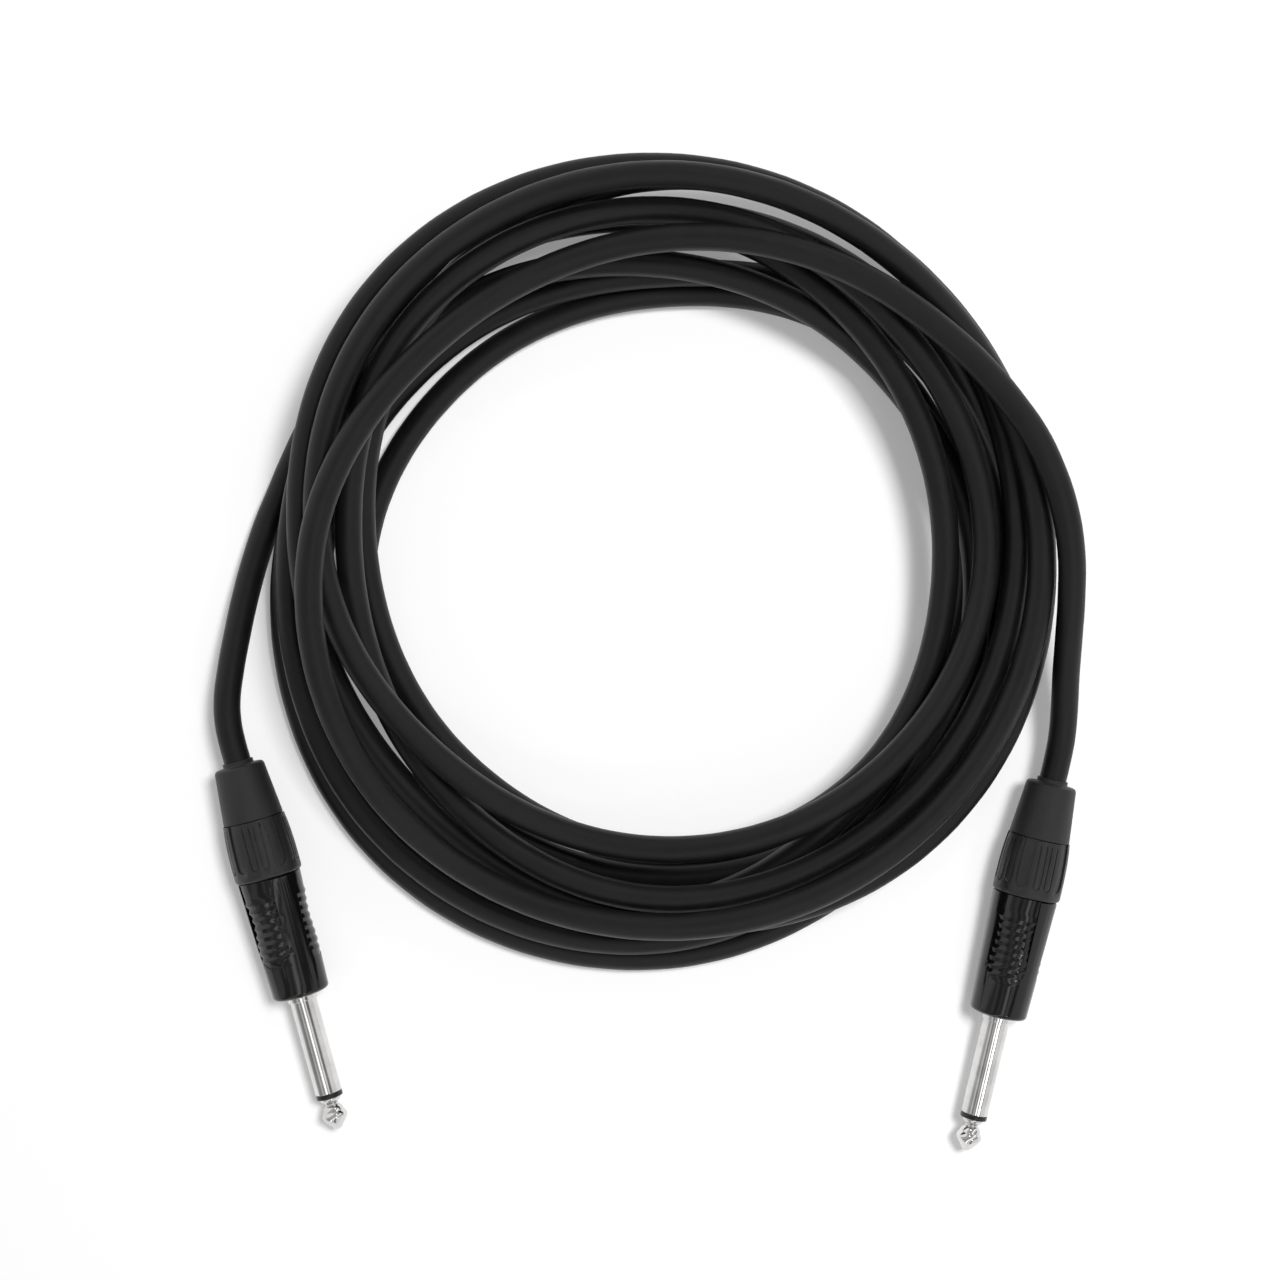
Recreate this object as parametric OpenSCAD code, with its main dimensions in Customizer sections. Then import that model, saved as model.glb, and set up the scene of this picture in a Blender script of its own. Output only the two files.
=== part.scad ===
// Instrument cable: a loosely coiled screened cord with a straight phone plug at each end.
// A plug is drawn along +Z with its shoulder at z = 0 and its tip upwards, then laid down.
// Its top, as it lies, is its own +Y side.

/* [Cord] */
// Outer diameter of the cord's jacket
cord_d = 6.4; // [6:0.1:6.6]
// Diameter of the insulated inner conductor
core_d = 3; // [2.4:0.1:3.2]
// Diameter of the centre wire
wire_d = 1.2; // [0.8:0.1:1.4]
// Diameter of the screen where it is twisted together
screen_d = 1.2; // [0.8:0.1:1.3]
// Clear space kept between strands that lie on each other
lay_gap = 0.9; // [0.9:0.05:1.2]
// Radius over which the cord bends where it climbs over another strand
climb_r = 200; // [150:10:250]

/* [Contacts] */
// Diameter of the sleeve contact, the quarter-inch standard
sleeve_d = 6.35; // [6.3:0.01:6.4]
// Length from the sleeve's shoulder to the end of the tip
stem_len = 32.2; // [31:0.1:33]
// Length of the tip contact ahead of the insulating ring
tip_len = 8.2; // [7.4:0.1:8.4]
// Diameter of the ball of the tip
tip_d = 5.8; // [5.4:0.1:6]
// Diameter of the neck behind the ball
tip_neck_d = 3.2; // [2.8:0.1:3.6]
// Width of the insulating ring
ring_w = 1; // [0.8:0.1:1.4]
// Diameter of the rod that carries the tip
rod_d = 2.4; // [2:0.1:2.6]
// Wall of the insulating tube round the rod
tube_wall = 0.9; // [0.7:0.1:1]
// Diameter of the sleeve's pilot, which fills the hole in the shell's nose
pilot_d = 7.2; // [7:0.1:7.6]
// How far the pilot stands out of the shell
pilot_out = 1; // [0.6:0.1:1.4]
// Diameter of the sleeve's flange
flange_d = 9.2; // [8.8:0.1:9.3]
// Thickness of the sleeve's flange
flange_w = 2; // [1.5:0.1:2.5]
// Diameter of the sleeve's rear barrel
barrel_d = 8; // [7.6:0.1:8.2]
// Length of the sleeve's rear barrel
barrel_len = 7; // [5:0.5:8]
// Thickness of the rear insulating washer
washer_w = 1.2; // [1:0.1:1.6]
// Thickness of the solder lugs
lug_t = 0.5; // [0.4:0.1:0.5]
// Length of the tip lug's solder cup
cup_len = 4.8; // [4:0.2:6]
// Length of the ground lug's arm behind the sleeve
arm_len = 12; // [10:0.5:13]
// Width of the ground lug's arm
arm_w = 3; // [2:0.1:3.6]

/* [Shell] */
// Length of the shell in view
shell_len = 29.5; // [28:0.5:32]
// Diameter of the shell at the collar
shell_rear_d = 15.5; // [15:0.1:15.8]
// Diameter of the shell at its nose
shell_nose_d = 13.6; // [13.4:0.1:14]
// Rounding of the nose edge
nose_round = 1; // [0.6:0.1:1.6]
// How far the nose face falls away towards its edge
nose_crown = 0.45; // [0.1:0.05:0.6]
// Thickness of the wall at the nose
nose_wall = 3; // [2:0.1:4]
// Bore of the shell
shell_bore_d = 9.6; // [9.5:0.1:9.8]
// Diameter of the threaded neck behind the shell
neck_d = 11.6; // [11.3:0.1:11.8]
// Length of the threaded neck
neck_len = 5.3; // [5:0.1:6]
// Pitch of the neck's thread
thread_pitch = 1; // [0.75:0.25:1.25]
// Depth of the neck's thread
thread_depth = 0.4; // [0.2:0.1:0.5]

/* [Grip panels] */
// Number of ribbed panels round the shell
panel_count = 3; // [2:1:4]
// Width of a panel, straight across
panel_w = 9.2; // [7:0.1:9.4]
// Length of a panel from the collar
panel_len = 21; // [20.5:0.5:24]
// Depth of a panel at its ends
panel_depth = 0.25; // [0.15:0.05:0.4]
// Depth of the finger scoop in the middle of a panel
scoop_depth = 0.45; // [0.2:0.05:0.6]
// Length of the finger scoop
scoop_len = 15.5; // [12:0.5:17]
// Number of ribs in a panel
rib_count = 8; // [5:1:8]
// Spacing of the ribs
rib_pitch = 1.98; // [1.8:0.01:2]
// Height of a rib above the panel's floor
rib_h = 0.3; // [0.15:0.05:0.4]
// Distance from the collar to the first groove
rib_start = 4.2; // [3.5:0.1:4.5]

/* [Collar] */
// Length of the screw collar
collar_len = 14; // [13.5:0.1:15]
// Diameter of the collar at the shell
collar_front_d = 16.1; // [15.8:0.1:16.4]
// Diameter of the collar at the boot
collar_rear_d = 14.8; // [14.5:0.1:15.2]
// Length over which the collar swells from the boot
collar_swell = 10; // [8:0.5:11]
// Rounding of the collar's front edge
collar_round = 0.8; // [0.4:0.1:1]
// Number of lands round the collar
land_count = 5; // [4:1:6]
// Width of the flute between two lands
flute_w = 3; // [2:0.1:3.4]
// Depth of a flute
flute_depth = 0.4; // [0.2:0.1:0.5]
// Distance from the collar's front to the end of the flutes
flute_stop = 2.4; // [2:0.1:3.5]
// Width of a grip key outlined on a land
key_w = 1.8; // [1.4:0.1:2]
// Length of a grip key
key_len = 10.6; // [8:0.2:11]
// Distance between the middles of a land's two keys
key_pitch = 2.7; // [2.5:0.1:3]
// Width and depth of the line round a key
key_line = 0.25; // [0.2:0.05:0.35]

/* [Boot] */
// Length of the boot in view
boot_len = 13.1; // [12:0.1:14]
// Diameter of the boot at the collar
boot_seam_d = 14.4; // [14:0.1:14.5]
// Diameter of the boot at its mouth
boot_mouth_d = 12; // [11:0.1:12.6]
// Rounding of the mouth edge
boot_round = 0.9; // [0.4:0.1:1.4]
// Diameter of the lip round the cord
lip_d = 7.3; // [7.2:0.1:7.8]
// Length of the lip
lip_len = 1.1; // [0.8:0.1:1.6]
// Length of the spigot that the collar turns on
spigot_len = 3; // [2:0.1:3.4]
// Diameter of the spigot
spigot_d = 11; // [10.4:0.1:11.4]

/* [Clamp] */
// Diameter of the clamp's body
clamp_d = 9.3; // [9:0.1:9.4]
// Diameter over the tips of its fingers
clamp_tip_d = 8; // [7.9:0.1:8.4]
// Length of its body ahead of the neck's end
clamp_body_len = 6.8; // [5:0.2:7]
// Length of its fingers
finger_len = 5.6; // [4:0.1:5.8]
// Width of the slots between the fingers
finger_slot = 0.8; // [0.4:0.1:1.2]

/* [Fits] */
// Radial clearance of a piece that turns or slides on another
run_fit = 0.08; // [0.06:0.01:0.1]
// Clearance between fixed pieces
seat_gap = 0.05; // [0.03:0.01:0.08]
// Width of the seam lines
seam = 0.15; // [0.1:0.05:0.3]
// Distance that the collar and boot back off along the cord
back_off = 5; // [4:0.5:5]

/* [Layout] */
// Left plug: shoulder across, from the middle of the two plugs
left_x = -81.8; // [-84:0.05:-78]
// Left plug: shoulder along, from the middle of the two plugs
left_y = -9.9; // [-13:0.1:-7]
// Left plug: heading of the tip, turned towards the middle
left_heading = 15; // [8:0.1:20]
// Right plug: shoulder across, from the middle of the two plugs
right_x = 83.8; // [80:0.05:88]
// Right plug: shoulder along, from the middle of the two plugs
right_y = -14.7; // [-18:0.1:-11]
// Right plug: heading of the tip, turned towards the middle
right_heading = 12.8; // [8:0.1:20]
// Roll of the shell on the left plug
left_shell_roll = 0; // [-60:5:60]
// Roll of the shell on the right plug
right_shell_roll = 15; // [-60:5:60]
// Roll of the collar on the left plug
left_collar_roll = 0; // [-36:1:36]
// Roll of the collar on the right plug
right_collar_roll = 14; // [-36:1:36]
// Middle of the coil, across
coil_x = 2.3; // [0:0.1:5]
// Middle of the coil, along
coil_y = 93; // [91:0.5:97]

/* [Hidden] */
$fn = 64;
eps = 0.01;

// Stations along a plug, from the tip back to the cord
tip_end = pilot_out + stem_len;
tip_base = tip_end - tip_len;
sleeve_end = tip_base - ring_w;
flange_front = -nose_wall - seat_gap;
flange_back = flange_front - flange_w;
barrel_back = flange_back - barrel_len;
washer_back = barrel_back - washer_w;
lug_back = washer_back - 2 * lug_t;
cup_back = lug_back - cup_len;
core_front = cup_back - 1.2;
arm_back = barrel_back - arm_len;
jacket_front = arm_back - 2;
neck_back = -shell_len - neck_len;
clamp_front = neck_back + clamp_body_len;
finger_back = neck_back - finger_len;
collar_front = -shell_len - seam;
collar_back = collar_front - collar_len;
boot_front = collar_back - seam;
boot_back = boot_front - boot_len;
lip_back = boot_back - lip_len;
jacket_back = lip_back - back_off - 0.3;

// Radii that one piece takes from another
tube_r = rod_d / 2 + seat_gap + tube_wall;
sleeve_bore_r = tube_r + seat_gap;
jacket_bore_r = cord_d / 2 + run_fit;
spigot_bore_r = spigot_d / 2 + run_fit;
web_front = neck_back - seam;
web_back = boot_front + spigot_len + seam;

// A resting plug touches the floor with the front of its collar and the edge of its nose
nose_r = shell_nose_d / 2 - nose_round;
nose_edge = -nose_crown - nose_round;
rest_run = nose_edge - collar_front + collar_round;
rest_rise = collar_front_d / 2 - collar_round - nose_r;
lie_tilt = atan(rest_rise / rest_run) - asin((nose_round - collar_round) / norm([rest_run, rest_rise]));
shoulder_z = nose_r * cos(lie_tilt) + nose_round + nose_edge * sin(lie_tilt);

// Lays a plug down with its shoulder over x, y and its tip turned by heading
module lay_plug(x, y, heading)
    translate([x, y, shoulder_z]) rotate([0, 0, heading]) rotate([90 + lie_tilt, 0, 0]) children();

module left_plug() lay_plug(left_x, left_y, left_heading) children();

module right_plug() lay_plug(right_x, right_y, -right_heading) children();

// A full or hollow round of radii r and bore from z = a to z = b
module round_bar(r, a, b) translate([0, 0, a]) cylinder(r = r, h = b - a);

module round_tube(r, bore, a, b) difference() {
    round_bar(r, a, b);
    round_bar(bore, a - 1, b + 1);
}

// A cutter that runs outwards from the axis, its outline drawn as [across, along]
module outwards(angle) rotate([0, 0, angle]) rotate([90, 0, 90]) linear_extrude(20) children();

// A slot outline with a square end at a and a round end at b
module slot_outline(w, a, b) {
    translate([-w / 2, a]) square([w, b - w / 2 - a]);
    translate([0, b - w / 2]) circle(d = w, $fn = 32);
}

// Contacts

// Half outline of the ball, neck and rear cone of the tip, from its seat on the ring
function tip_outline() = concat(
    [[0, 0], [tip_neck_d / 2 + 0.9, 0], [tip_neck_d / 2 + 0.8, 0.4], [tip_neck_d / 2 - 0.2, 1.1]],
    [for (a = [0:30:180]) [tip_neck_d / 2 - 0.25 + 0.25 * sin(a), 1.9 - 0.7 * cos(a)]],
    [for (a = [-60:30:30]) [tip_d / 2 - 0.6 + 0.6 * cos(a), tip_len - 4.3 + 0.6 * sin(a)]],
    [for (a = [30:30:90]) [cos(a), tip_len - 1 + sin(a)]]
);

module tip() color("gainsboro") {
    translate([0, 0, tip_base]) rotate_extrude() polygon(tip_outline());
    round_bar(rod_d / 2, lug_back, tip_base);
}

module tip_ring() color("black") round_tube(sleeve_d / 2, rod_d / 2 + seat_gap, sleeve_end, tip_base);

module insulating_tube() color("dimgray")
    round_tube(tube_r, rod_d / 2 + seat_gap, barrel_back, sleeve_end);

module sleeve() color("gainsboro") difference() {
    union() {
        round_bar(sleeve_d / 2, flange_back, sleeve_end);
        round_bar(pilot_d / 2, flange_back, pilot_out);
        round_bar(flange_d / 2, flange_back, flange_front);
        round_bar(barrel_d / 2, barrel_back, flange_back);
    }
    round_bar(sleeve_bore_r, barrel_back - 1, sleeve_end + 1);
}

module rear_washer() color("dimgray")
    round_tube(barrel_d / 2, rod_d / 2 + seat_gap, washer_back, barrel_back);

module tip_lug() color("goldenrod") difference() {
    union() {
        round_bar(barrel_d / 2 - 1.4, lug_back, washer_back);
        round_bar(wire_d / 2 + 0.2 + lug_t, cup_back, lug_back);
    }
    round_bar(rod_d / 2 + seat_gap, lug_back, washer_back + 1);
    round_bar(wire_d / 2 + 0.15, cup_back - 1, lug_back - 0.8);
}

module ground_lug() color("goldenrod") {
    bore = barrel_d / 2 + seat_gap;
    round_tube(bore + lug_t, bore, barrel_back, barrel_back + 3);
    intersection() {
        round_tube(bore + lug_t, bore, arm_back, barrel_back + eps);
        translate([0, -arm_w / 2, arm_back - 1]) cube([barrel_d, arm_w, arm_len + 2]);
    }
}

// Clamp, shell, collar and boot

module clamp() color("whitesmoke") difference() {
    union() {
        round_bar(clamp_d / 2, neck_back, clamp_front);
        translate([0, 0, finger_back])
            cylinder(r1 = clamp_tip_d / 2, r2 = clamp_d / 2, h = finger_len);
    }
    round_bar(cord_d / 2 + seat_gap, finger_back - 1, clamp_front + 1);
    for (a = [0, 90]) rotate([0, 0, a]) translate([-clamp_d, -finger_slot / 2, finger_back - 1])
        cube([2 * clamp_d, finger_slot, finger_len + 3]);
}

// Radius of the shell, and of a panel's floor, at a distance s from the collar
function shell_r(s) = (shell_rear_d - (shell_rear_d - shell_nose_d) * s / (shell_len + nose_edge)) / 2;

function floor_r(s) = let (t = (s - 2) / scoop_len)
    shell_r(s) - panel_depth - scoop_depth * pow(sin(180 * max(0, min(1, t))), 2);

// Half outline of the space cut away over the ribs, from the collar forwards
rib_outline = concat(
    [[shell_rear_d, -1], [floor_r(-1), -1], [floor_r(2), 2]],
    [for (i = [0:rib_count - 1], q = [0:0.25:0.75]) let (s = rib_start + (i + q) * rib_pitch)
        [floor_r(s) + rib_h * (1 - cos(360 * q)) / 2, s]],
    [[floor_r(panel_len + 1), panel_len + 1], [shell_rear_d, panel_len + 1]]
);

module shell_body() rotate_extrude() polygon(concat(
    [[0, neck_back], [neck_d / 2 - thread_depth, neck_back]],
    [for (z = [neck_back:thread_pitch:-shell_len - thread_pitch], q = [[0, 0.1], [1, 0.4], [1, 0.6], [0, 0.9]])
        [neck_d / 2 - thread_depth * (1 - q[0]), z + q[1] * thread_pitch]],
    [[neck_d / 2 - thread_depth, -shell_len], [shell_rear_d / 2 - 0.2, -shell_len],
        [shell_rear_d / 2, -shell_len + 0.2]],
    [for (a = [0:15:75]) [nose_r + nose_round * cos(a), nose_edge + nose_round * sin(a)]],
    [[pilot_d / 2 + 0.4, 0], [0, 0]]
));

module shell(roll) color("#26262a") difference() {
    shell_body();
    round_bar(shell_bore_d / 2, neck_back - 1, -nose_wall);
    round_bar(pilot_d / 2 + run_fit, -nose_wall - 1, 1);
    intersection() {
        translate([0, 0, -shell_len]) rotate_extrude() polygon(rib_outline);
        for (i = [0:panel_count - 1]) outwards(120 - roll + i * 360 / panel_count)
            slot_outline(panel_w, -shell_len - 2, panel_len - shell_len);
    }
}

// A round the shape of the collar, smaller by inset all along its side and longer behind it
module collar_bar(inset, behind) {
    rear_r = collar_rear_d / 2 - inset;
    front_r = collar_front_d / 2 - inset;
    rotate_extrude() polygon(concat(
        [[0, collar_back - behind], [rear_r, collar_back - behind]],
        [for (t = [0, 0.1, 0.2, 0.35, 0.5, 0.75, 1])
            [front_r - (front_r - rear_r) * pow(1 - t, 2.2), collar_back + t * collar_swell]],
        [for (a = [0:30:90])
            [front_r - collar_round * (1 - cos(a)), collar_front - collar_round * (1 - sin(a))]],
        [[0, collar_front]]
    ));
}

module collar_body() difference() {
    collar_bar(0, 0);
    round_bar(neck_d / 2 + run_fit, web_front, collar_front + 1);
    round_bar(spigot_bore_r, collar_back - 1, web_back);
    translate([0, 0, finger_back]) cylinder(r1 = clamp_tip_d / 2 + seam, r2 = clamp_d / 2 + seam,
        h = finger_len);
    round_bar(clamp_tip_d / 2 + seam, web_back - 1, finger_back + 1);
}

module collar(roll) color("#2b2b2b") difference() {
    collar_body();
    difference() {
        for (i = [0:land_count - 1]) outwards(90 - roll + (i + 0.5) * 360 / land_count)
            slot_outline(flute_w, collar_back - 2, collar_front - flute_stop);
        collar_bar(flute_depth, 3);
    }
    difference() {
        for (i = [0:land_count - 1], side = [-1, 1]) outwards(90 - roll + i * 360 / land_count)
            translate([side * key_pitch / 2, 0]) key_outline();
        collar_bar(key_line, 3);
    }
}

// The line round a key: a U, open where the key fades out towards the boot
module key_outline() difference() {
    slot_outline(key_w, collar_front - flute_stop - key_len, collar_front - flute_stop);
    slot_outline(key_w - 2 * key_line, collar_back - 2, collar_front - flute_stop - key_line);
}

module boot() color("#303030") difference() {
    rotate_extrude() polygon(concat(
        [[0, lip_back], [lip_d / 2, lip_back], [lip_d / 2, boot_back + 0.3], [lip_d / 2 + 0.3, boot_back]],
        [for (a = [90:-30:0]) [boot_mouth_d / 2 - boot_round * (1 - cos(a)),
            boot_back + boot_round * (1 - sin(a))]],
        [[boot_seam_d / 2, boot_front], [spigot_d / 2, boot_front], [spigot_d / 2, boot_front + spigot_len],
            [0, boot_front + spigot_len]]
    ));
    round_bar(jacket_bore_r, lip_back - 1, boot_front + spigot_len + 1);
}

// Cord ends inside the plugs

module jacket_end() color("#1c1c1c") round_bar(cord_d / 2, jacket_back, jacket_front);

module core() color("ivory") round_bar(core_d / 2, jacket_front, core_front);

module wire() color("chocolate") round_bar(wire_d / 2, core_front, lug_back - 1);

// The screen's twisted tail leans out from the jacket's face to the ground lug
module screen_tail() color("chocolate") {
    foot = (core_d / 2 + cord_d / 2) / 2;
    head = barrel_d / 2 - seat_gap - screen_d / 2;
    run = arm_len - 4;
    difference() {
        translate([foot, 0, jacket_front]) rotate([0, atan((head - foot) / run), 0])
            translate([0, 0, -1]) cylinder(d = screen_d, h = run + 1, $fn = 24);
        translate([0, -cord_d, jacket_front - 4]) cube([2 * cord_d, 2 * cord_d, 4]);
    }
}

// Coil

// Radius of the cord's middle every eighth of a turn, clockwise: one row for each turn,
// from the one on the floor to the one on top
turn_radii = [
    [93.5, 85.5],
    [84.5, 85, 82, 78.5, 75, 73.5, 70, 64.5],
    [64.5, 73, 74.5, 73, 82, 85.5, 80.5, 72],
    [68.5, 78.5, 82.5, 87.5, 94, 95, 88, 78.5],
    [70, 70, 75.5, 80.5, 89.5, 91, 86, 85],
    [80.5, 72, 68, 70, 68.5, 66, 68.5, 78.5],
    [90, 93, 92, 91, 84, 79, 82, 90.5],
    [91, 90, 84.5, 81, 78.5, 72.5, 71, 78.5],
    [81, 78, 77, 71, 67, 67.5, 77, 85],
    [88, 88.5, 89.5, 87, 84.5, 83.5, 78.5, 71],
    [73.5, 82, 95.5]
];
first_bearing = 270;
stations = 48;
coil_in = 2;
mean_r = 78;
knots = [for (row = turn_radii) each row];
knot_before = 106;
knot_after = 90;
end_run = 1;
knot_step = stations / 8;
half = stations / 2;
coil_out = (len(knots) - 1) * knot_step - 3;
blocks = ceil((coil_out + 1) / half);
station_len = 2 * PI * mean_r / stations;
crossing = 0.985;

function knot(i) = i < 0 ? knot_before : i < len(knots) ? knots[i] : knot_after;

// A smooth curve through four values, at the share f between the middle two
function smooth(a, b, c, d, f) =
    b + f * (c - a + f * (2 * a - 5 * b + 4 * c - d + f * (3 * (b - c) + d - a))) / 2;

station_r = [for (i = [0:(blocks + 1) * half - 1])
    let (t = min(i, coil_out) / knot_step, k = floor(t))
    smooth(knot(k - 1), knot(k), knot(k + 1), knot(k + 2), t - k)];

// Height at which the cord lies on the strands that are already down at a station
function laid_height(i, z) = max(concat([cord_d / 2],
    [for (j = i - stations; j >= coil_in; j = j - stations)
        let (pitch = cord_d + lay_gap, d = abs(station_r[i] - station_r[j]) * crossing)
        if (d < pitch) z[j] + sqrt(pitch * pitch - d * d)]));

// Heights of the next half turn: the cord is stiff, so it rises ahead of each crossing
// and comes down behind it in a bend of climb_r
function next_heights(m, z) = let (
    rest = concat(
        [for (i = [(m - 1) * half:m * half - 1]) m == 0 ? cord_d / 2 : z[i]],
        [for (i = [m * half:(m + 2) * half - 1]) laid_height(i, z)]),
    bent = [for (a = [half - 2:2 * half + 1])
        max([for (b = [0:3 * half - 1]) rest[b] - pow((b - a) * station_len, 2) / 2 / climb_r])]
) [for (a = [0:half - 1]) (bent[a] + 3 * bent[a + 1] + 4 * bent[a + 2] + 3 * bent[a + 3] + bent[a + 4]) / 12];

heights = [for (m = 0, z = []; m <= blocks; z = m < blocks ? concat(z, next_heights(m, z)) : z, m = m + 1)
    if (m == blocks) each z];

function coil_point(i) = let (bearing = first_bearing + i * 360 / stations)
    [coil_x + station_r[i] * sin(bearing), coil_y + station_r[i] * cos(bearing), heights[i]];

function unit(v) = v / norm(v);

coil_turns = [for (i = [coil_in:2:coil_out]) coil_point(i)];
coil_head = unit(3 * coil_turns[0] - 4 * coil_turns[1] + coil_turns[2]);
coil_tail = unit(3 * coil_point(coil_out) - 4 * coil_point(coil_out - 1) + coil_point(coil_out - 2));
coil_route = concat([coil_turns[0] + end_run * coil_head], coil_turns,
    [coil_point(coil_out) + end_run * coil_tail]);

// A solid of flat triangles swept along points; its end faces are square to the unit
// vectors head and tail, which both point along the route
module swept_tube(route, sides, head, tail) {
    last = len(route) - 1;
    rings = [for (i = [0:last], a = [0:sides - 1]) let (
        along = i == 0 ? head : i == last ? tail : unit(route[i + 1] - route[i - 1]),
        across = unit(cross(along, [0, 0, 1])), up = cross(across, along), turn = a * 360 / sides
    ) route[i] + cord_d / 2 * (cos(turn) * up + sin(turn) * across)];
    walls = [for (i = [0:last - 1], a = [0:sides - 1]) let (
        p = i * sides + a, q = i * sides + (a + 1) % sides
    ) each [[p, q, p + sides], [q, q + sides, p + sides]]];
    caps = [for (a = [1:sides - 2]) each [[0, a + 1, a], [last * sides, last * sides + a, last * sides + a + 1]]];
    polyhedron(points = rings, faces = concat(walls, caps));
}

module cord_coil() color("#202020") swept_tube(coil_route, 6, -coil_head, coil_tail);

// The leads, from the coil to the jacket ends in the plugs

// A point z along the axis of a plug that lies at x, y with its tip turned by heading
function plug_point(x, y, heading, z) = [
    x + z * cos(lie_tilt) * sin(heading), y - z * cos(lie_tilt) * cos(heading), shoulder_z - z * sin(lie_tilt)];

function plug_axis(heading) =
    [cos(lie_tilt) * sin(heading), -cos(lie_tilt) * cos(heading), -sin(lie_tilt)];

left_route = concat(
    [coil_route[0]],
    [[-87.5, 110, 3.2], [-90.2, 103.5, 3.4], [-93, 95, 4.1], [-95.4, 85.5, 5.5], [-97.2, 76, 7.2],
        [-98.5, 67.5, 8.8], [-99.2, 60, 9.65], [-98.9, 55, 9.63]],
    [plug_point(left_x, left_y, left_heading, jacket_back)]);

right_route = concat(
    [coil_route[len(coil_route) - 1]],
    [[89.1, 121.6, 30.55], [92.5, 115, 29.8], [95.9, 106, 28.4], [98.1, 95.5, 26], [98.7, 85, 22.9],
        [98.7, 75.5, 19.3], [98.7, 66.5, 15.3], [98.9, 58.5, 11.9], [98.6, 51.6, 10]],
    [plug_point(right_x, right_y, -right_heading, jacket_back)]);

module left_lead() color("#202020")
    swept_tube(left_route, 8, coil_head, plug_axis(left_heading));

module right_lead() color("#202020")
    swept_tube(right_route, 8, coil_tail, plug_axis(-right_heading));

// Lengths and the least gap between strands, measured on the coil's own points
function route_len(route) = route_sum([for (i = [1:len(route) - 1]) norm(route[i] - route[i - 1])]);
function route_sum(v, i = 0) = i == len(v) ? 0 : v[i] + route_sum(v, i + 1);

strand_gaps = [for (i = [0:len(coil_turns) - 1], j = [i + half / 2:len(coil_turns) - 1],
    f = [0, 0.5]) let (a = coil_turns[i] + f * (coil_turns[min(i + 1, len(coil_turns) - 1)] - coil_turns[i]),
    b = coil_turns[j] + f * (coil_turns[min(j + 1, len(coil_turns) - 1)] - coil_turns[j]))
    if (abs(a[0] - b[0]) < 2 * cord_d && abs(a[1] - b[1]) < 2 * cord_d) norm(a - b) - cord_d];

echo(coil_length = route_len(coil_route), left_lead_length = route_len(left_route),
    right_lead_length = route_len(right_route));
echo(least_gap_in_coil = min(strand_gaps), coil_height = max([for (p = coil_turns) p[2]]) + cord_d / 2);

left_plug() tip();  // left_tip
left_plug() tip_ring();  // left_tip_ring
left_plug() insulating_tube();  // left_insulating_tube
left_plug() sleeve();  // left_sleeve
left_plug() rear_washer();  // left_rear_washer
left_plug() tip_lug();  // left_tip_lug
left_plug() ground_lug();  // left_ground_lug
left_plug() clamp();  // left_clamp
left_plug() shell(left_shell_roll);  // left_shell
left_plug() collar(left_collar_roll);  // left_collar
left_plug() boot();  // left_boot
left_plug() jacket_end();  // left_jacket_end
left_plug() core();  // left_core
left_plug() wire();  // left_wire
left_plug() screen_tail();  // left_screen_tail
left_lead();
cord_coil();
right_lead();
right_plug() tip();  // right_tip
right_plug() tip_ring();  // right_tip_ring
right_plug() insulating_tube();  // right_insulating_tube
right_plug() sleeve();  // right_sleeve
right_plug() rear_washer();  // right_rear_washer
right_plug() tip_lug();  // right_tip_lug
right_plug() ground_lug();  // right_ground_lug
right_plug() clamp();  // right_clamp
right_plug() shell(right_shell_roll);  // right_shell
right_plug() collar(right_collar_roll);  // right_collar
right_plug() boot();  // right_boot
right_plug() jacket_end();  // right_jacket_end
right_plug() core();  // right_core
right_plug() wire();  // right_wire
right_plug() screen_tail();  // right_screen_tail
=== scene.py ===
import math

import bmesh
import bpy
from mathutils import Matrix, Vector


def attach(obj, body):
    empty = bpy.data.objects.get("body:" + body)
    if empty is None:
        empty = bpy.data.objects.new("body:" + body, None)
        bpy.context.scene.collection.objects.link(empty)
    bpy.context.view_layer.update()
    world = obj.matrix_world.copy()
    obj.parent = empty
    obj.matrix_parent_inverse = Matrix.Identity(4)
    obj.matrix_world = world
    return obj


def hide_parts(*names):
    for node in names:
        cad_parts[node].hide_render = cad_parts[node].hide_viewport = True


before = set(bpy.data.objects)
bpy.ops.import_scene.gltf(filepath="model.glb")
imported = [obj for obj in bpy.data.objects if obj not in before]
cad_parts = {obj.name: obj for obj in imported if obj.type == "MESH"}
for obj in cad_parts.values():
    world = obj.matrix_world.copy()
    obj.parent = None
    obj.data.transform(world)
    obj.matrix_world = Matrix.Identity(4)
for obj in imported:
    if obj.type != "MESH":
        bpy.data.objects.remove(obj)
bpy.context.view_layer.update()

mm = 0.001
mergeDistance = 0.001 * mm
print("instrument cable: frame loaded,", len(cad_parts), "CAD nodes")

# How the part lies: the plugs' places and the sizes that both plugs share

layout = {
    "left": {"place": (-81.8, -9.9), "heading": 15},
    "right": {"place": (83.8, -14.7), "heading": -12.8},
}
plug = {
    # middles of the roundings at the nose's edge and at the collar's front, [radius, station]
    "noseEdge": (5.8, -1.45),
    "noseRound": 1.0,
    "collarEdge": (7.25, -30.45),
    "collarRound": 0.8,
    "jacketFront": -26.05,
    "jacketBack": -63.3,
    "fingerBack": -40.4,
}
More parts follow.
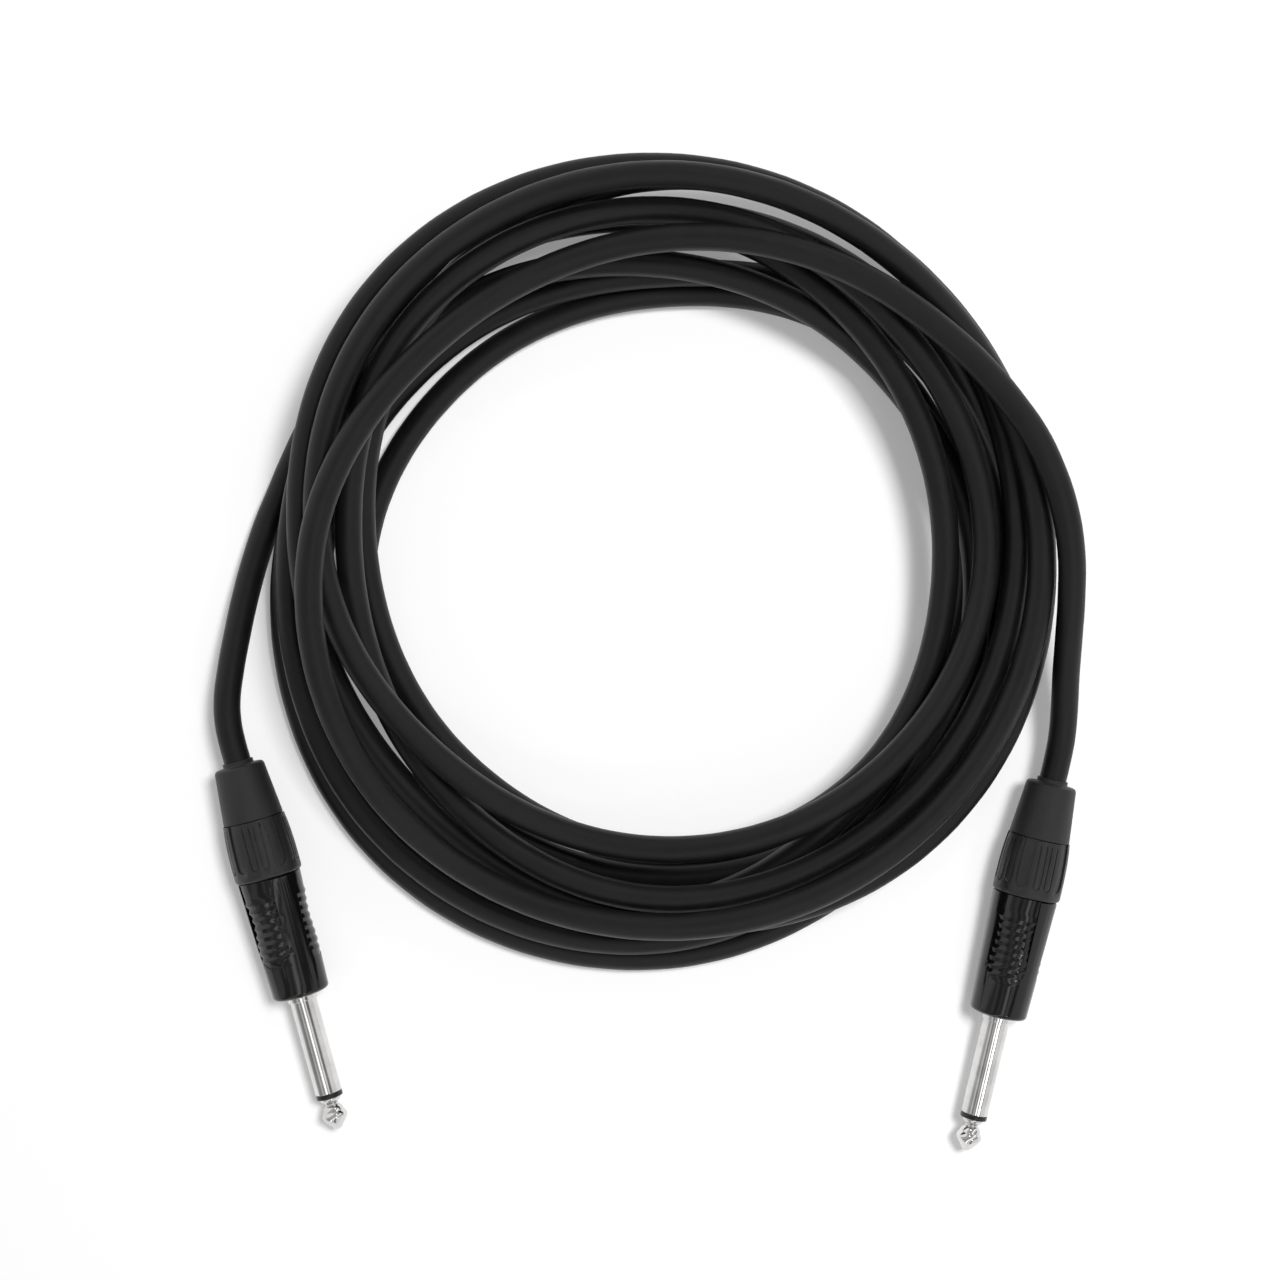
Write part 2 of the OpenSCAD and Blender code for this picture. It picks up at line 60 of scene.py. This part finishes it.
# a resting plug touches the floor with the front of its collar and the edge of its nose
restRun = plug["noseEdge"][1] - plug["collarEdge"][1]
restRise = plug["collarEdge"][0] - plug["noseEdge"][0]
lieTilt = (math.atan(restRise / restRun)
           - math.asin((plug["noseRound"] - plug["collarRound"]) / math.hypot(restRun, restRise)))
shoulderHeight = (plug["noseEdge"][0] * math.cos(lieTilt) + plug["noseRound"]
                  + plug["noseEdge"][1] * math.sin(lieTilt))


def plugMatrix(side):
    x, y = layout[side]["place"]
    return (Matrix.Translation(Vector((x, y, shoulderHeight)) * mm)
            @ Matrix.Rotation(math.radians(layout[side]["heading"]), 4, "Z")
            @ Matrix.Rotation(math.radians(90) + lieTilt, 4, "X"))


def plugPoint(side, station):
    return plugMatrix(side) @ Vector((0, 0, station * mm))


# Camera, straight above the middle of the whole cable: place and clip in metres, lens and sensor in mm

cameraSettings = {"place": (-0.0013, 0.0748, 0.6), "lens": 70.04, "sensor": 36, "clip": (0.01, 50)}


def addCamera():
    data = bpy.data.cameras.new("camera")
    data.lens = cameraSettings["lens"]
    data.sensor_width = cameraSettings["sensor"]
    data.clip_start, data.clip_end = cameraSettings["clip"]
    camera = bpy.data.objects.new("camera", data)
    camera.location = cameraSettings["place"]
    bpy.context.scene.collection.objects.link(camera)
    bpy.context.scene.camera = camera


addCamera()
print("camera set")

# Materials

texture = {
    "noiseSpan": (0.3, 0.7),            # nearly all of a noise texture's values lie inside
    "mottle": 6,                        # width in mm of a moulding's slow change of colour
    "haze": 5,                          # width in mm of a metal's slow change of colour
    "hazeSpan": (0.35, 0.65),
    "alongAxis": (0.02, 0.02, 1),       # draws a noise out into rings round the axis
    "markStrength": 0.6,
}


def colour(hexValue):
    channels = [int(hexValue[i:i + 2], 16) / 255 for i in (1, 3, 5)]
    return [c / 12.92 if c <= 0.04045 else ((c + 0.055) / 1.055) ** 2.4 for c in channels] + [1]


def addNode(tree, kind, settings=None, links=None, stops=None):
    # settings go to the node's own properties, or to its inputs by name or number;
    # links join an input to another node's output; stops are a ramp's places and colours
    node = tree.nodes.new(kind)
    for name, value in (settings or {}).items():
        if isinstance(name, str) and hasattr(node, name):
            setattr(node, name, value)
        else:
            node.inputs[name].default_value = value
    for name, (source, output) in (links or {}).items():
        tree.links.new(source.outputs[output], node.inputs[name])
    if stops:
        elements = node.color_ramp.elements
        elements[0].position, elements[0].color = stops[0]
        elements[1].position, elements[1].color = stops[-1]
        for place, value in stops[1:-1]:
            elements.new(place).color = value
    return node


def newMaterial(name):
    material = bpy.data.materials.new(name)
    material.use_nodes = True
    tree = material.node_tree
    tree.nodes.clear()
    return material, tree


def finishMaterial(tree, shade, slow, tones, roughness, fine, strength, depth):
    # the slow noise shifts tone and roughness, and the fine one makes a bump, depth mm deep
    tone = addNode(tree, "ShaderNodeValToRGB", links={"Fac": (slow, 0)}, stops=tones)
    low, high = roughness
    gloss = addNode(tree, "ShaderNodeMapRange", {"From Min": texture["noiseSpan"][0],
                                                 "From Max": texture["noiseSpan"][1],
                                                 "To Min": low, "To Max": high},
                    {"Value": (slow, 0)})
    bump = addNode(tree, "ShaderNodeBump", {"Strength": strength, "Distance": depth * mm},
                   {"Height": (fine, 0)})
    surface = addNode(tree, "ShaderNodeBsdfPrincipled", shade,
                      {"Base Color": (tone, 0), "Roughness": (gloss, 0), "Normal": (bump, 0)})
    addNode(tree, "ShaderNodeOutputMaterial", links={"Surface": (surface, 0)})


def mouldedPlastic(name, dark, light, roughness, grain, depth, specular=0.5):
    # grain and depth are the width and depth in mm of the texture left by the mould or die
    material, tree = newMaterial(name)
    place = addNode(tree, "ShaderNodeTexCoord")
    slow = addNode(tree, "ShaderNodeTexNoise",
                   {"Scale": 1 / (texture["mottle"] * mm), "Detail": 3, "Roughness": 0.6},
                   {"Vector": (place, "Object")})
    fine = addNode(tree, "ShaderNodeTexNoise", {"Scale": 1 / (grain * mm), "Detail": 2, "Roughness": 0.5},
                   {"Vector": (place, "Object")})
    tones = list(zip(texture["noiseSpan"], (colour(dark), colour(light))))
    finishMaterial(tree, {"IOR": 1.5, "Specular IOR Level": specular}, slow, tones, roughness, fine, 1, depth)
    return material


def metal(name, dark, light, roughness, side=None, pitch=0.25, depth=0.00015):
    # pitch and depth in mm are those of the metal's fine marks, which are rings round the axis,
    # left by the lathe, where a side's plug is named
    material, tree = newMaterial(name)
    place = addNode(tree, "ShaderNodeTexCoord")
    marked = (place, "Object")
    if side:
        turned = plugMatrix(side).inverted().to_euler()
        along = addNode(tree, "ShaderNodeMapping", {"Rotation": turned}, {"Vector": marked})
        drawnOut = addNode(tree, "ShaderNodeMapping", {"Scale": texture["alongAxis"]}, {"Vector": (along, 0)})
        marked = (drawnOut, 0)
    marks = addNode(tree, "ShaderNodeTexNoise", {"Scale": 1 / (pitch * mm), "Detail": 2}, {"Vector": marked})
    haze = addNode(tree, "ShaderNodeTexNoise", {"Scale": 1 / (texture["haze"] * mm), "Detail": 4},
                   {"Vector": (place, "Object")})
    tones = list(zip(texture["hazeSpan"], (colour(dark), colour(light))))
    finishMaterial(tree, {"Metallic": 1}, haze, tones, roughness, marks, texture["markStrength"], depth)
    return material


materials = {
    # extruded flexible PVC: satin black, a broad soft highlight along every strand
    "jacket": mouldedPlastic("extrudedPvcJacket", "#0f0f0f", "#141414", (0.42, 0.5), 0.35, 0.006,
                             specular=0.3),
    # gloss black paint over a die casting: sharp bright glints on the ribs, faint orange peel
    "shell": mouldedPlastic("glossBlackPaint", "#09090a", "#0d0d0e", (0.09, 0.15), 1.1, 0.004,
                            specular=0.44),
    # moulded ABS with a fine spark-eroded texture: even dark grey sheen
    "collar": mouldedPlastic("mouldedAbsCollar", "#1a1a1a", "#202020", (0.4, 0.48), 0.2, 0.008),
    # moulded soft TPE: duller and greyer than the collar
    "boot": mouldedPlastic("mouldedTpeBoot", "#1b1b1b", "#222222", (0.5, 0.6), 0.25, 0.012),
    # moulded nylon ring between the contacts: black with a clean edge
    "ring": mouldedPlastic("mouldedNylonRing", "#0a0a0a", "#121212", (0.3, 0.38), 0.2, 0.002),
    # moulded PBT tube and washer: dull grey, seen only inside the plug
    "insulator": mouldedPlastic("mouldedPbtInsulator", "#77777a", "#88888b", (0.45, 0.55), 0.3, 0.004),
    # natural nylon clamp: milky white, slightly waxy
    "clamp": mouldedPlastic("naturalNylonClamp", "#dcd9ce", "#ebe8dd", (0.4, 0.5), 0.4, 0.004),
    # foamed polyethylene round the centre wire: warm white and smooth
    "core": mouldedPlastic("foamedPolyethyleneCore", "#e6e1d2", "#f1ede0", (0.45, 0.55), 0.5, 0.004),
    # stamped brass, tinned where it is soldered: yellow metal that turns grey in patches
    "lug": metal("stampedTinnedBrass", "#a8905a", "#c9c6ba", (0.25, 0.4)),
    # bare stranded copper: warm metal, uneven as a bundle of strands is
    "copper": metal("strandedCopper", "#b06a3e", "#d08a58", (0.25, 0.38), pitch=0.4, depth=0.02),
}
for side in layout:
    # bright nickel over turned brass: a clean mirror with rings finer than a hair
    materials[side + "Nickel"] = metal(side + "BrightNickel", "#cdcccb", "#e0dfde", (0.08, 0.15), side)
print("materials made:", len(materials))

# The cord, one tube from jacket end to jacket end: left lead, coil, right lead

cord = {
    "diameter": 6.4,
    "layGap": 0.9,          # clear space between strands that lie on each other
    "climbRadius": 200,     # the bend where the cord climbs over another strand
    "crossing": 0.985,      # share of the radial distance that counts where strands cross at a slant
    "smoothing": (1, 3, 4, 3, 1),   # weights of neighbouring heights
    "middle": (2.3, 93),
    "stations": 48,         # to a turn
    "firstBearing": 270,
    "firstStation": 2,
    "meanRadius": 78,
    # radius of the cord's middle every eighth of a turn, clockwise, a row for each turn
    "turnRadii": [
        [93.5, 85.5],
        [84.5, 85, 82, 78.5, 75, 73.5, 70, 64.5],
        [64.5, 73, 74.5, 73, 82, 85.5, 80.5, 72],
        [68.5, 78.5, 82.5, 87.5, 94, 95, 88, 78.5],
        [70, 70, 75.5, 80.5, 89.5, 91, 86, 85],
        [80.5, 72, 68, 70, 68.5, 66, 68.5, 78.5],
        [90, 93, 92, 91, 84, 79, 82, 90.5],
        [91, 90, 84.5, 81, 78.5, 72.5, 71, 78.5],
        [81, 78, 77, 71, 67, 67.5, 77, 85],
        [88, 88.5, 89.5, 87, 84.5, 83.5, 78.5, 71],
        [73.5, 82, 95.5],
    ],
    "radiusBefore": 106,
    "radiusAfter": 90,
    "lastStations": 3,      # the coil ends this many stations before its last radius
    "leftLead": [(-98.9, 55, 9.63), (-99.2, 60, 9.65), (-98.5, 67.5, 8.8), (-97.2, 76, 7.2),
                 (-95.4, 85.5, 5.5), (-93, 95, 4.1), (-90.2, 103.5, 3.4), (-87.5, 110, 3.2)],
    "rightLead": [(89.1, 121.6, 30.55), (92.5, 115, 29.8), (95.9, 106, 28.4), (98.1, 95.5, 26),
                  (98.7, 85, 22.9), (98.7, 75.5, 19.3), (98.7, 66.5, 15.3), (98.9, 58.5, 11.9),
                  (98.6, 51.6, 10)],
    "length": 4.95,         # in metres, from jacket end to jacket end
    "plugSteps": 6,         # stretches of the route inside each plug
    "curveSteps": 4,        # from one point of the route to the next
    "sides": 24,            # round the tube
}


def smooth(a, b, c, d, f):
    # a smooth curve through four values, at the share f of the way between the middle two
    return b + f * (c - a + f * (2 * a - 5 * b + 4 * c - d + f * (3 * (b - c) + d - a))) / 2


def coilPoints():
    radii = [r for row in cord["turnRadii"] for r in row]
    knotStep, half = cord["stations"] // 8, cord["stations"] // 2
    last = (len(radii) - 1) * knotStep - cord["lastStations"]
    blocks = math.ceil((last + 1) / half)
    stationLength = 2 * math.pi * cord["meanRadius"] / cord["stations"]
    pitch = cord["diameter"] + cord["layGap"]

    def knot(i):
        return cord["radiusBefore"] if i < 0 else radii[i] if i < len(radii) else cord["radiusAfter"]

    reach = []
    for i in range((blocks + 1) * half):
        t = min(i, last) / knotStep
        k = math.floor(t)
        reach.append(smooth(knot(k - 1), knot(k), knot(k + 1), knot(k + 2), t - k))

    def laidHeight(i, heights):
        # the cord lies on the strands that are already down at a station
        found = [cord["diameter"] / 2]
        for j in range(i - cord["stations"], cord["firstStation"] - 1, -cord["stations"]):
            apart = abs(reach[i] - reach[j]) * cord["crossing"]
            if apart < pitch:
                found.append(heights[j] + math.sqrt(pitch * pitch - apart * apart))
        return max(found)

    heights = []
    weights = cord["smoothing"]
    for block in range(blocks):
        # stiff cord rises ahead of each crossing and comes down behind it
        rest = heights[-half:] or [cord["diameter"] / 2] * half
        rest = rest + [laidHeight(i, heights) for i in range(block * half, (block + 2) * half)]
        bent = [max(height - ((b - a) * stationLength) ** 2 / 2 / cord["climbRadius"]
                    for b, height in enumerate(rest)) for a in range(half - 2, 2 * half + 2)]
        heights += [sum(w * bent[a + k] for k, w in enumerate(weights)) / sum(weights) for a in range(half)]

    points = []
    for i in range(cord["firstStation"], last + 1):
        bearing = math.radians(cord["firstBearing"] + i * 360 / cord["stations"])
        points.append(Vector((cord["middle"][0] + reach[i] * math.sin(bearing),
                              cord["middle"][1] + reach[i] * math.cos(bearing), heights[i])) * mm)
    return points


def cordRoute():
    turns = coilPoints()
    front, back, steps = plug["jacketFront"], plug["jacketBack"], cord["plugSteps"]
    inPlug = [front + i * (back - front) / steps for i in range(steps + 1)]
    left = [plugPoint("left", z) for z in inPlug] + [Vector(p) * mm for p in cord["leftLead"]]
    right = [Vector(p) * mm for p in cord["rightLead"]] + [plugPoint("right", z) for z in reversed(inPlug)]
    return left + turns + right


def makeCord():
    route = cordRoute()
    data = bpy.data.curves.new("cord", "CURVE")
    data.dimensions = "3D"
    data.resolution_u = cord["curveSteps"]
    data.bevel_depth = cord["diameter"] / 2 * mm
    data.bevel_resolution = cord["sides"] // 2 - 2
    data.use_fill_caps = True
    spline = data.splines.new("BEZIER")
    spline.bezier_points.add(len(route) - 1)
    for point, place in zip(spline.bezier_points, route):
        point.co = place
        point.handle_left_type = point.handle_right_type = "AUTO"
    piece = bpy.data.objects.new("cord", data)
    bpy.context.scene.collection.objects.link(piece)
    data.materials.append(materials["jacket"])
    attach(piece, "cord")
    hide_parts("left_jacket_end", "left_lead", "cord_coil", "right_lead", "right_jacket_end")
    long = sum((a - b).length for a, b in zip(route, route[1:]))
    print("cord laid:", round(long, 3), "m through", len(route), "points")


makeCord()

# Pieces made from a mesh. A body or node is named without its side.

sharpAngle = 30


def addPiece(side, settings, bm):
    name = side + settings["name"]
    mesh = bpy.data.meshes.new(name)
    bm.to_mesh(mesh)
    bm.free()
    mesh.polygons.foreach_set("use_smooth", [True] * len(mesh.polygons))
    mesh.set_sharp_from_angle(angle=math.radians(sharpAngle))
    # each side has its own nickel, whose rings follow its plug
    material = side + "Nickel" if settings["material"] == "nickel" else settings["material"]
    mesh.materials.append(materials[material])
    piece = bpy.data.objects.new(name, mesh)
    bpy.context.scene.collection.objects.link(piece)
    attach(piece, "cord" if settings["body"] == "cord" else side + "_" + settings["body"])
    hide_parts(side + "_" + settings["node"])
    return piece


# Pieces turned round a plug's own axis, with outlines as [radius, station] in mm

turning = {"steps": 128, "cornerAngle": 24, "cornerSegments": 3}


def makeTurned(side, settings):
    bm = bmesh.new()
    verts = [bm.verts.new((r * mm, 0, z * mm)) for r, z in settings["outline"]]
    edges = [bm.edges.new(pair) for pair in zip(verts, verts[1:])]
    if settings["hollow"]:
        edges.append(bm.edges.new((verts[-1], verts[0])))
    bmesh.ops.spin(bm, geom=verts + edges, cent=(0, 0, 0), axis=(0, 0, 1), angle=2 * math.pi,
                   steps=turning["steps"], use_merge=True)
    bmesh.ops.remove_doubles(bm, verts=bm.verts, dist=mergeDistance)
    bmesh.ops.recalc_face_normals(bm, faces=bm.faces)
    sharpest = math.radians(turning["cornerAngle"])
    corners = [e for e in bm.edges if e.is_manifold and e.calc_face_angle(0) > sharpest]
    bmesh.ops.bevel(bm, geom=corners, offset=settings["rounding"] * mm, offset_type="OFFSET", affect="EDGES",
                    segments=turning["cornerSegments"], profile=0.5, clamp_overlap=True, material=-1)
    bmesh.ops.transform(bm, matrix=plugMatrix(side), verts=bm.verts)
    addPiece(side, settings, bm)


tip = {
    "name": "Tip",
    "node": "tip",
    "body": "cord",
    "material": "nickel",
    "slot": "nickel",
    "hollow": False,
    "rounding": 0.06,
    "outline": [
        [0, -14.2], [1.2, -14.2], [1.2, 25.2], [2.5, 25.2], [2.52, 25.45], [2.42, 25.75], [2.1, 26.15],
        [1.72, 26.5], [1.5, 26.8], [1.52, 27], [1.72, 27.15], [1.98, 27.4], [2.2, 27.7], [2.36, 28.05],
        [2.44, 28.4], [2.48, 28.65], [2.66, 28.85], [2.86, 29.15], [2.98, 29.5], [3, 29.8], [2.93, 30.15],
        [2.72, 30.6], [2.36, 31.1], [1.9, 31.65], [1.45, 32.2], [1.05, 32.68], [0.6, 33.05], [0, 33.2],
    ],
}
tipRing = {
    "name": "TipRing",
    "node": "tip_ring",
    "body": "cord",
    "material": "ring",
    "slot": "insulator_black",
    "hollow": True,
    "rounding": 0.16,
    "outline": [[1.25, 24], [3.175, 24], [3.175, 25.2], [1.25, 25.2]],
}
sleeve = {
    "name": "Sleeve",
    "node": "sleeve",
    "body": "cord",
    "material": "nickel",
    "slot": "nickel",
    "hollow": True,
    "rounding": 0.1,
    "outline": [
        [2.2, -12.05], [4, -12.05], [4, -5.05], [4.6, -5.05], [4.6, -3.05], [3.6, -3.05], [3.6, 1],
        [3.175, 1], [3.175, 24], [2.2, 24],
    ],
}
boot = {
    "name": "Boot",
    "node": "boot",
    "body": "boot",
    "material": "boot",
    "slot": "boot_rubber",
    "hollow": True,
    "rounding": 0.12,
    "outline": [
        [3.28, -58], [3.65, -58], [3.65, -57.2], [3.95, -56.9], [5.1, -56.9], [5.55, -56.78],
        [5.88, -56.45], [6, -56], [7.2, -43.8], [5.5, -43.8], [5.5, -40.8], [3.28, -40.8],
    ],
}

# Shell and collar: the cast and moulded shapes with their edges rounded

softening = {"flatAngle": 1, "edgeAngle": 28}
shell = {
    "name": "Shell",
    "node": "shell",
    "body": "shell",
    "material": "shell",
    "slot": "shell_black",
    "width": 0.12,
    "segments": 3,
}
collar = {
    "name": "Collar",
    "node": "collar",
    "body": "collar",
    "material": "collar",
    "slot": "collar_black",
    "width": 0.04,
    "segments": 2,
}


def makeSoftened(side, settings):
    bm = bmesh.new()
    bm.from_mesh(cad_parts[side + "_" + settings["node"]].data)
    bmesh.ops.remove_doubles(bm, verts=bm.verts, dist=mergeDistance)
    bmesh.ops.dissolve_limit(bm, angle_limit=math.radians(softening["flatAngle"]), verts=bm.verts,
                             edges=bm.edges)
    bevel = addPiece(side, settings, bm).modifiers.new("edges", "BEVEL")
    bevel.width = settings["width"] * mm
    bevel.segments = settings["segments"]
    bevel.limit_method = "ANGLE"
    bevel.angle_limit = math.radians(softening["edgeAngle"])
    bevel.use_clamp_overlap = True
    bevel.harden_normals = True


# Pieces inside a plug, kept as they are and given their finish

innerFinish = {
    "insulating_tube": "insulator",
    "rear_washer": "insulator",
    "tip_lug": "lug",
    "ground_lug": "lug",
    "clamp": "clamp",
    "core": "core",
    "wire": "copper",
    "screen_tail": "copper",
}

for side in layout:
    for settings in (tip, tipRing, sleeve, boot):
        makeTurned(side, settings)
    for settings in (shell, collar):
        makeSoftened(side, settings)
    for node, finish in innerFinish.items():
        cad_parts[side + "_" + node].data.materials[0] = materials[finish]
    print(side, "plug made")

# Floor, lamps and surroundings

floor = {
    "size": 6.0,
    "bounce": "#e6e6e6",
    "seen": "#ffffff",
    # share of plain white in what the eye sees: this much up to the near distance, all at the far one
    "glow": 0.25,
    "near": 0.22,
    "far": 0.9,
}
lamps = {
    # name: place in metres, size in metres, power in watts
    "key": {"place": (0.42, 0.36, 1.45), "size": 0.36, "power": 18.8, "mirrored": False},
    # two small lamps that only put glints on the ribs' ends and other small roundings
    "frontGlint": {"place": (0.55, -0.75, 1.05), "size": 0.16, "power": 0.7, "mirrored": True},
    "backGlint": {"place": (0.3, 0.95, 1.05), "size": 0.16, "power": 0.7, "mirrored": True},
}
lampTarget = (0, 0.07, 0)
sky = {
    "light": 0.3,
    # what a gloss reflects: white panels and grey gaps, as [where, level], counted along
    # a line over the table from behind the right plug, -1, to the coil's upper left, 1
    "line": (-0.8, 0.6, 0),
    "brightest": 2.1,
    "panels": [
        (-1, 0.85), (-0.76, 0.85), (-0.71, 0.18), (-0.58, 0.18), (-0.54, 0.95), (-0.45, 0.95),
        (-0.42, 0.22), (-0.38, 0.22), (-0.31, 2.1), (-0.25, 2.1), (-0.17, 0.35), (-0.04, 0.3),
        (-0.01, 0.6), (0.07, 0.6), (0.11, 0.25), (0.26, 0.25), (0.32, 0.7), (0.42, 0.7),
        (0.46, 0.4), (0.62, 0.45), (0.7, 1.1), (0.95, 1),
    ],
}


def makeFloor():
    bm = bmesh.new()
    bmesh.ops.create_grid(bm, x_segments=1, y_segments=1, size=floor["size"] / 2)
    mesh = bpy.data.meshes.new("floor")
    bm.to_mesh(mesh)
    bm.free()
    piece = bpy.data.objects.new("floor", mesh)
    bpy.context.scene.collection.objects.link(piece)
    # white paper: what the eye sees is lifted towards plain white, and keeps the shadow
    material, tree = newMaterial("whitePaper")
    place = addNode(tree, "ShaderNodeTexCoord")
    away = addNode(tree, "ShaderNodeVectorMath", {"operation": "LENGTH"}, {0: (place, "Object")})
    lift = addNode(tree, "ShaderNodeMapRange", {"From Min": floor["near"], "From Max": floor["far"],
                                                "To Min": floor["glow"], "To Max": 1},
                   {"Value": (away, "Value")})
    ray = addNode(tree, "ShaderNodeLightPath")
    shown = (ray, "Is Camera Ray")
    for kind in ("Is Glossy Ray", "Is Transmission Ray"):
        shown = (addNode(tree, "ShaderNodeMath", {"operation": "ADD", "use_clamp": True},
                         {0: shown, 1: (ray, kind)}), 0)
    bounce = addNode(tree, "ShaderNodeBsdfDiffuse", {"Color": colour(floor["bounce"])})
    paper = addNode(tree, "ShaderNodeBsdfDiffuse", {"Color": colour(floor["seen"])})
    white = addNode(tree, "ShaderNodeEmission", {"Color": colour(floor["seen"]), "Strength": 1})
    seen = addNode(tree, "ShaderNodeMixShader", links={0: (lift, 0), 1: (paper, 0), 2: (white, 0)})
    surface = addNode(tree, "ShaderNodeMixShader", links={0: shown, 1: (bounce, 0), 2: (seen, 0)})
    addNode(tree, "ShaderNodeOutputMaterial", links={"Surface": (surface, 0)})
    mesh.materials.append(material)


def makeLamps():
    target = Vector(lampTarget)
    for name, settings in lamps.items():
        data = bpy.data.lights.new(name, "AREA")
        data.shape = "SQUARE"
        data.size = settings["size"]
        data.energy = settings["power"]
        lamp = bpy.data.objects.new(name, data)
        lamp.location = settings["place"]
        lamp.visible_glossy = settings["mirrored"]
        lamp.rotation_euler = (target - lamp.location).to_track_quat("-Z", "Y").to_euler()
        bpy.context.scene.collection.objects.link(lamp)


def makeSky():
    world = bpy.data.worlds.new("studio")
    world.use_nodes = True
    tree = world.node_tree
    tree.nodes.clear()
    ray = addNode(tree, "ShaderNodeLightPath")
    place = addNode(tree, "ShaderNodeTexCoord")
    along = addNode(tree, "ShaderNodeVectorMath", {"operation": "DOT_PRODUCT", 1: sky["line"]},
                    {0: (place, "Generated")})
    share = addNode(tree, "ShaderNodeMapRange", {"From Min": -1, "From Max": 1}, {"Value": (along, "Value")})
    # a ramp's colours end at 1, so the levels are divided by the brightest, which is the strength
    stops = [((where + 1) / 2, [level / sky["brightest"]] * 3 + [1]) for where, level in sky["panels"]]
    ramp = addNode(tree, "ShaderNodeValToRGB", links={"Fac": (share, 0)}, stops=stops)
    dim = addNode(tree, "ShaderNodeBackground", {"Color": (1, 1, 1, 1), "Strength": sky["light"]})
    reflected = addNode(tree, "ShaderNodeBackground", {"Strength": sky["brightest"]}, {"Color": (ramp, 0)})
    white = addNode(tree, "ShaderNodeBackground", {"Color": (1, 1, 1, 1), "Strength": 1})
    shown = addNode(tree, "ShaderNodeMath", {"operation": "ADD", "use_clamp": True},
                    {0: (ray, "Is Camera Ray"), 1: (ray, "Is Transmission Ray")})
    first = addNode(tree, "ShaderNodeMixShader",
                    links={0: (ray, "Is Glossy Ray"), 1: (dim, 0), 2: (reflected, 0)})
    both = addNode(tree, "ShaderNodeMixShader", links={0: (shown, 0), 1: (first, 0), 2: (white, 0)})
    addNode(tree, "ShaderNodeOutputWorld", links={"Surface": (both, 0)})
    bpy.context.scene.world = world


makeFloor()
makeLamps()
makeSky()
bpy.context.scene.view_settings.view_transform = "Standard"
print("floor, lamps and sky set")
